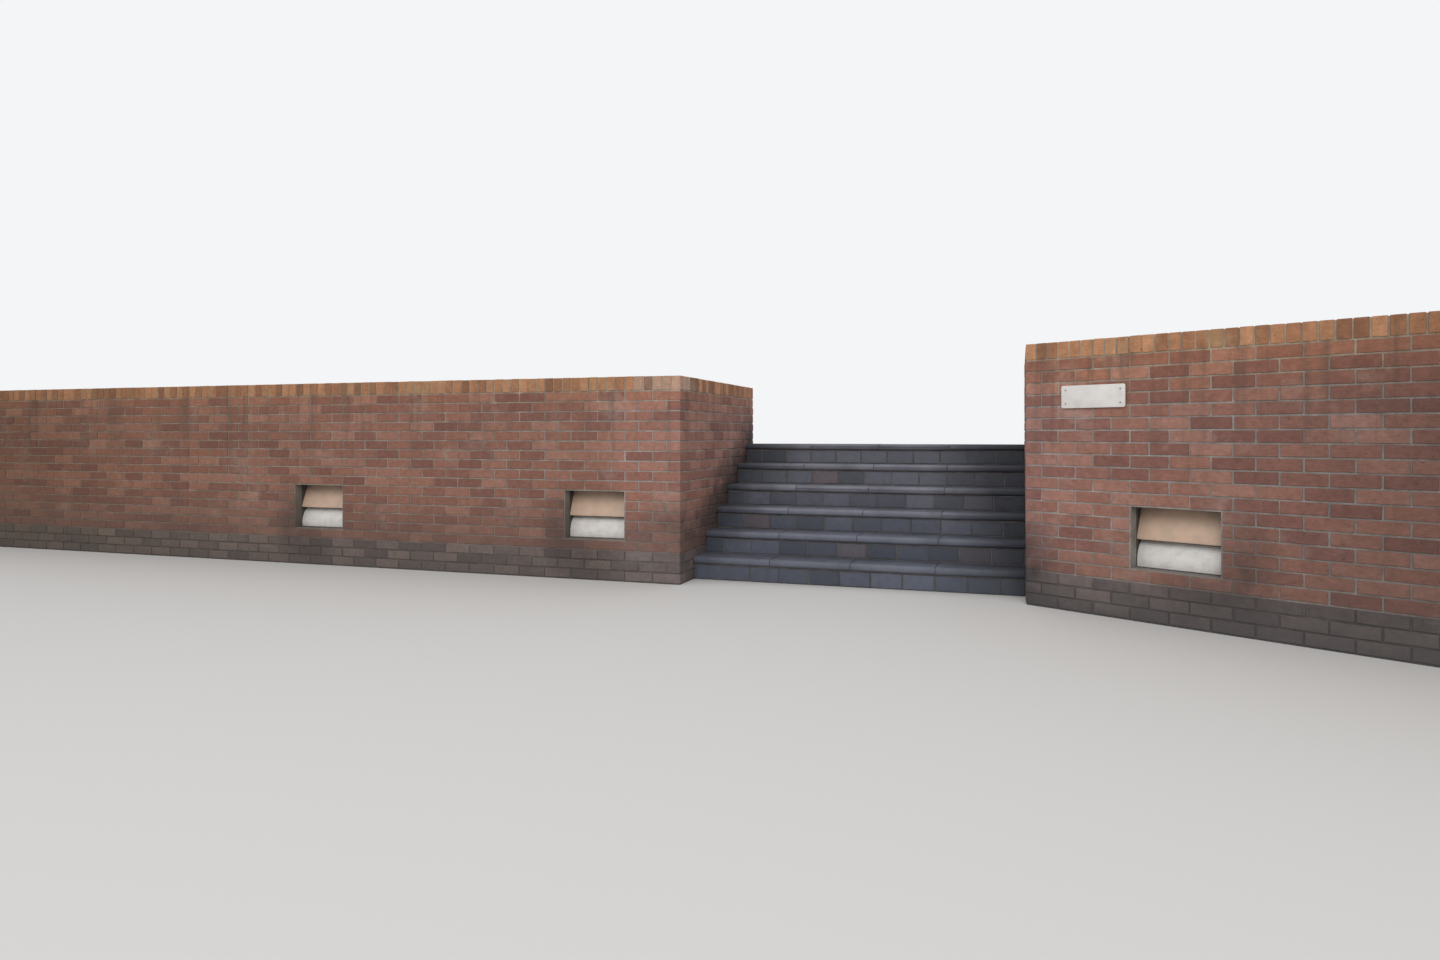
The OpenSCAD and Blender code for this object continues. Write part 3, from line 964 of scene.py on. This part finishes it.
def lay_right_corner(node, slot):
    """The corner between the splayed run and the steps, with cut bricks that turn it."""
    courses = node_courses(node)
    legs = ((RIGHT_RUN, BRICK_L, 0), (RIGHT_RUN, BRICK_W, 1),
            (RIGHT_SIDE, BRICK_L, 1), (RIGHT_SIDE, BRICK_W, 0))
    pieces = [turn_corner([(column((0, 0), (length, BRICK_W), courses, parity), run)
                           for run, length, parity in legs])]
    for run, shift in ((RIGHT_RUN, 0), (RIGHT_SIDE, 1)):
        pieces += [place(bond(HALF, PIER, courses, (0,), shift), run),
                   place(trim_mitre(bond(0, PIER, courses, (HALF,), shift)), run)]
    lay(join(pieces), corner_mortar(node_heights(node)), node, slot)


def lay_right_corner_coping():
    """Bricks on edge round the corner: one cut brick turns it, and the next ones are mitred."""
    node = "right_corner_coping"
    low, high = node_heights(node)
    turned = []
    rows = []
    for run, end in ((RIGHT_RUN, RIGHT_END), (RIGHT_SIDE, SIDE_END)):
        step = edge_step(end)
        turned.append((edge_row(0, JOINT, step, (low, high)), run))
        rows.append(place(trim_mitre(edge_row(step, PIER, step, (low, high)), JOINT / 2), run))
    lay(join([turn_corner(turned)] + rows), corner_mortar((low, high - JOINT_DEPTH)), node, "coping_brick")


def build_walls():
    # Straight stretches: name, run, start, stop, end of the run, shift of the bond, where a light starts, and
    # where the row of the coping does
    stretches = [(f"{side}_bay_{bay}_", run, bay_start(bay), bay_start(bay) + BAY, end, 0,
                  light_start(side, bay) if bay <= lights else None, 0)
                 for side, (run, bays, end, lights) in RUNS.items() for bay in range(1, bays + 1)]
    stretches += [("left_cheek_", LEFT_SIDE, PIER, SIDE_END, SIDE_END, 1, None, PIER + JOINT),
                  ("right_cheek_", RIGHT_SIDE, PIER, SIDE_END, SIDE_END, 1, None, 0)]
    for part, slot in (("base", "base_brick"), ("brickwork", "wall_brick")):
        upper = part == "brickwork"
        lay_left_pier("left_pier_" + part, "pier_brick" if upper else slot)
        lay_right_corner("right_corner_" + part, slot)
        for name, run, start, stop, end, shift, light, _ in stretches:
            lay_courses(name + part, slot, run, start, stop, end, shift, light if upper else None)
    lay_left_pier_coping()
    lay_right_corner_coping()
    for name, run, start, stop, end, _, _, origin in stretches:
        lay_coping(name + "coping", run, start, stop, end, origin)


# The steps, in axes with X across from the left wall, Y back from the front of the walls and Z up

def riser_y(number):
    """Where the face of a riser stands, counted from 0."""
    return flight_low[1] - FRONT_Y + number * GOING


def tread_slabs(node, number):
    """Cast slabs side by side with mortar between, each with a round nosing and two grooves for grip."""
    top = number * RISE
    front = riser_y(number - 1) - NOSING
    back = riser_y(number) if number < RISERS else SIDE_END
    slab = block((SLAB_GAP / 2, front, top - TREAD_T), (ENTRANCE_W / SLABS - SLAB_GAP / 2, back, top))
    edit_edges(slab, lambda a, b: max(a.y, b.y) < front + TINY and abs(a.z - b.z) < TINY)
    bpy.ops.mesh.bevel(offset=NOSING_R, segments=6, affect="EDGES")
    done()
    grooves = [(middle - GROOVE_W / 2, middle + GROOVE_W / 2) for middle in GROOVES]
    edit(slab)
    for line in sum(grooves, ()):
        bpy.ops.mesh.select_all(action="SELECT")
        bpy.ops.mesh.bisect(plane_co=(0, front + line, 0), plane_no=(0, 1, 0))
    done()
    middles = vectors(slab.data.polygons, "center")[:, 1] - front
    in_groove = [any(low < middle < high for low, high in grooves) for middle in middles]
    edit_faces(slab, facing(slab, (0, 0, 1)) & np.array(in_groove))
    bpy.ops.mesh.extrude_region_move(TRANSFORM_OT_translate={"value": (0, 0, -GROOVE_D)})
    done()
    soften(slab, SLAB_R)
    repeat(slab, SLABS, (ENTRANCE_W / SLABS, 0, 0))
    weather(slab, SLAB_WANDER, 0.0)
    smooth(slab)
    bed = block((0, front + BED_FRONT, top - TREAD_T + BED_UNDER),
                (ENTRANCE_W, back - BED_BACK, top - BED_TOP))
    piece = join([paint(slab, finishes["tread"]), paint(bed, dark_mortar)])
    finish_piece(place(piece, STEPS), node + "_slabs", node)


def between_walls(bricks):
    """Ends rows a joint away from the walls beside the steps."""
    trim_end(bricks, ENTRANCE_W - JOINT)
    trim_bricks(bricks, lambda low, high: low[:, 0] < JOINT - TINY, (JOINT, 0, 0), (-1, 0, 0))
    return bricks


def flight_back(courses, slot):
    """Courses of brick across the back of the flight, the last of them cut to fit under the landing."""
    layers = []
    for parity in (0, 1):
        layer = column((-ODD_ROW * parity, 0), (BRICK_L, BRICK_W), courses, parity)
        layers.append(repeat(layer, ROW_BRICKS, (PITCH, 0, 0)))
    bricks = between_walls(join(layers))
    cut = LANDING_FOOT - JOINT / 2
    trim_bricks(bricks, lambda low, high: high[:, 2] > cut, (0, 0, cut), (0, 0, 1))
    weather(bricks)
    bed = block((0, JOINT_DEPTH, courses[0] * COURSE),
                (ENTRANCE_W, BRICK_W / 2, min(courses[1] * COURSE, LANDING_FOOT)))
    return place(join([paint(bricks, finishes[slot]), paint(bed, mortars[slot])]), STEPS_BACK)


def build_flight():
    """The risers, of hard blue bricks on edge, in front of the mass of the flight, and its bricked back."""
    rows = []
    levels = []
    for number in range(RISERS):
        face = riser_y(number)
        first = -ODD_ROW * (number % 2)
        low = number * RISE + RISER_BED
        row = block((first, face, low), (first + BRICK_L, face + BRICK_H, low + BRICK_W), ARRIS)
        rows.append(repeat(row, ROW_BRICKS, (PITCH, 0, 0)))
        floor = number * RISE - TREAD_T if number else 0
        roof = (number + 1) * RISE - TREAD_T
        levels.append(block((0, face + JOINT_DEPTH, floor), (ENTRANCE_W, SIDE_END - BRICK_W / 2, roof)))
    risers = between_walls(join(rows))
    weather(risers)
    place(paint(risers, finishes["riser"]), STEPS)
    mass = place(paint(join(levels), dark_mortar), STEPS)
    foot = round(pier_high[2] / COURSE)
    top = math.ceil(LANDING_FOOT / COURSE)
    backs = [flight_back((0, foot), "base_brick"), flight_back((foot, top), "wall_brick")]
    finish_piece(join([risers, mass] + backs), "flight_laid", "flight")


def build_steps():
    build_flight()
    for number in range(1, RISERS):
        tread_slabs(f"tread_{number}", number)
    tread_slabs("landing", RISERS)


# The wall lights

def light_box(start):
    """Sheet metal box, open to the front, with a rolled front edge."""
    box = block((start, LIGHT_SET, RECESS[0]), (start + LIGHT_W, LIGHT_SET + LIGHT_D, RECESS[1]))
    edit_faces(box, facing(box, (0, -1, 0)))
    bpy.ops.mesh.inset(thickness=SHEET, depth=0)
    bpy.ops.mesh.extrude_region_move(TRANSFORM_OT_translate={"value": (0, LIGHT_D - SHEET, 0)})
    done()
    soften(box, BOX_R)
    return box


def light_hood(start):
    """A folded hood: a slope from the top of the box to a turned down lip, closed at its ends."""
    top = RECESS[1] - SHEET
    hood = block((start + SHEET, LIGHT_SET, LENS_TOP),
                 (start + LIGHT_W - SHEET, LIGHT_SET + LIGHT_D - SHEET, top))
    edit_edges(hood, lambda a, b: max(a.y, b.y) < LIGHT_SET + TINY and min(a.z, b.z) > LENS_TOP + TINY)
    bpy.ops.transform.translate(value=(0, 0, LENS_TOP + LIP_H - top))
    done()
    edit_faces(hood, facing(hood, (0, 0, -1)) | facing(hood, (0, 1, 0)))
    bpy.ops.mesh.delete(type="FACE")
    done()
    modify(hood, "SOLIDIFY", thickness=HOOD_SHEET, offset=-1)
    soften(hood, HOOD_R, segments=3)
    return hood


def light_lens(start):
    """The lens under the hood: a part of a cylinder between the floor and the back of the box."""
    low_y, low_z = SHEET, SHEET
    high_y, high_z = LIGHT_D - SHEET, LENS_TOP - RECESS[0] - SHEET
    half = math.hypot(high_y - low_y, high_z - low_z) / 2
    way_y, way_z = (high_y - low_y) / (2 * half), (high_z - low_z) / (2 * half)
    reach = math.sqrt(LENS_R ** 2 - half ** 2)
    centre_y = (low_y + high_y) / 2 + way_z * reach + LIGHT_SET
    centre_z = (low_z + high_z) / 2 - way_y * reach + RECESS[0]
    lens = rod((start + SHEET, centre_y, centre_z), LENS_R, LIGHT_W - 2 * SHEET,
               Matrix.Rotation(math.pi / 2, 4, "Y"), LENS_SIDES)
    slice_off(lens, (0, 0, RECESS[0] + low_z), (0, 0, -1))
    slice_off(lens, (0, 0, RECESS[0] + high_z), (0, 0, 1))
    slice_off(lens, (0, LIGHT_SET + high_y, 0), (0, 1, 0))
    soften(lens, LENS_EDGE_R)
    return lens


def build_lights():
    """The lights, numbered along the left run and then along the right one."""
    lit = [(side, bay) for side in RUNS for bay in range(1, RUNS[side][3] + 1)]
    for number, (side, bay) in enumerate(lit, 1):
        for part, make in (("housing", light_box), ("hood", light_hood), ("lens", light_lens)):
            node = f"light_{number}_{part}"
            slot = "light_" + part
            piece = place(make(light_start(side, bay)), RUNS[side][0])
            smooth(paint(piece, finishes[slot]))
            finish_piece(piece, node + "_made", node)


# The bare plate: where it starts along the right run, its length, thickness, corners and rounded edges
PLATE_START = 0.250
PLATE_L = 0.400
PLATE_T = 0.006
PLATE_CORNER_R = 0.012
PLATE_EDGE_R = 0.0008
# Its spacers, as long as their own radius, and its screws, with how far they stand in from its corners
SPACER = 0.008
SCREW_IN = 0.028
SCREW_R = 0.0055
SCREW_H = 0.0028
SCREW_EDGE_R = 0.0018


def build_plate():
    low, high = node_heights("sign_plate")
    front = -SPACER - PLATE_T
    plate = block((PLATE_START, front, low), (PLATE_START + PLATE_L, -SPACER, high))
    edit_edges(plate, lambda a, b: abs(a.y - b.y) > TINY)
    bpy.ops.mesh.bevel(offset=PLATE_CORNER_R, segments=8, affect="EDGES")
    done()
    soften(plate, PLATE_EDGE_R)
    forward = Matrix.Rotation(math.pi / 2, 4, "X")
    fixings = []
    for along in (PLATE_START + SCREW_IN, PLATE_START + PLATE_L - SCREW_IN):
        for height in (low + SCREW_IN, high - SCREW_IN):
            head = rod((along, front, height), SCREW_R, SCREW_H, forward)
            soften(head, SCREW_EDGE_R, segments=4)
            fixings += [rod((along, 0, height), SPACER, SPACER, forward), head]
    piece = join([paint(plate, finishes["plate"]), paint(join(fixings), steel)])
    smooth(piece)
    finish_piece(place(piece, RIGHT_RUN), "sign_plate_made", "sign_plate")


# The camera: its height, its place from the left corner of the entrance, how far it is turned to the left,
# how far it sees, and its lens and sensor in mm. It is level, and its frame is shifted to bring the horizon
# to its pixel row.
EYE_H = 1.10
EYE_RIGHT = 2.36
EYE_AWAY = 6.17
EYE_TURN = math.radians(18.4)
EYE_FAR = 500
EYE_LENS = 22.5
SENSOR_W = 36
HORIZON_ROW = 435
PHOTO_SIZE = (1440, 960)
# The floor is so large that no edge shows, and lies just under the foot of the wall
FLOOR_SIZE = 160
FLOOR_DROP = 0.0005
# A wide soft lamp high in front of the steps, aimed at the left corner of the entrance, in metres and watts
LAMP_AT = Vector((LEFT_X + 3, FRONT_Y - 14, 10))
LAMP_AIM = Vector((LEFT_X, FRONT_Y, 0.5))
LAMP_SIZE = 9
LAMP_POWER = 1000


def build_camera():
    camera = bpy.data.objects.new("camera", bpy.data.cameras.new("camera"))
    bpy.context.scene.collection.objects.link(camera)
    camera.location = (LEFT_X + EYE_RIGHT, FRONT_Y - EYE_AWAY, EYE_H)
    camera.rotation_euler = (math.pi / 2, 0, EYE_TURN)
    camera.data.lens = EYE_LENS
    camera.data.sensor_width = SENSOR_W
    camera.data.shift_y = (HORIZON_ROW - PHOTO_SIZE[1] / 2) / PHOTO_SIZE[0]
    camera.data.clip_end = EYE_FAR
    bpy.context.scene.camera = camera


def build_stage():
    deselect()
    bpy.ops.mesh.primitive_plane_add(size=FLOOR_SIZE, location=(0, 0, -FLOOR_DROP))
    floor = bpy.context.object
    floor.name = "floor"
    material, add, _ = new_material("plain_floor", 0.9)
    paint(floor, surfaced(material, add, "#c4c2bf"))

    world = bpy.data.worlds.new("sky")
    world.use_nodes = True
    feed(world.node_tree.nodes["Background"], {"Color": "#f4f5f7", "Strength": 1.0})
    bpy.context.scene.world = world

    lamp = bpy.data.objects.new("key", bpy.data.lights.new("key", "AREA"))
    bpy.context.scene.collection.objects.link(lamp)
    lamp.location = LAMP_AT
    lamp.rotation_euler = (LAMP_AIM - LAMP_AT).to_track_quat("-Z", "Y").to_euler()
    lamp.data.size = LAMP_SIZE
    lamp.data.energy = LAMP_POWER


bpy.context.scene.view_settings.view_transform = "Standard"
build_camera()
build_stage()
build_walls()
build_steps()
build_lights()
build_plate()
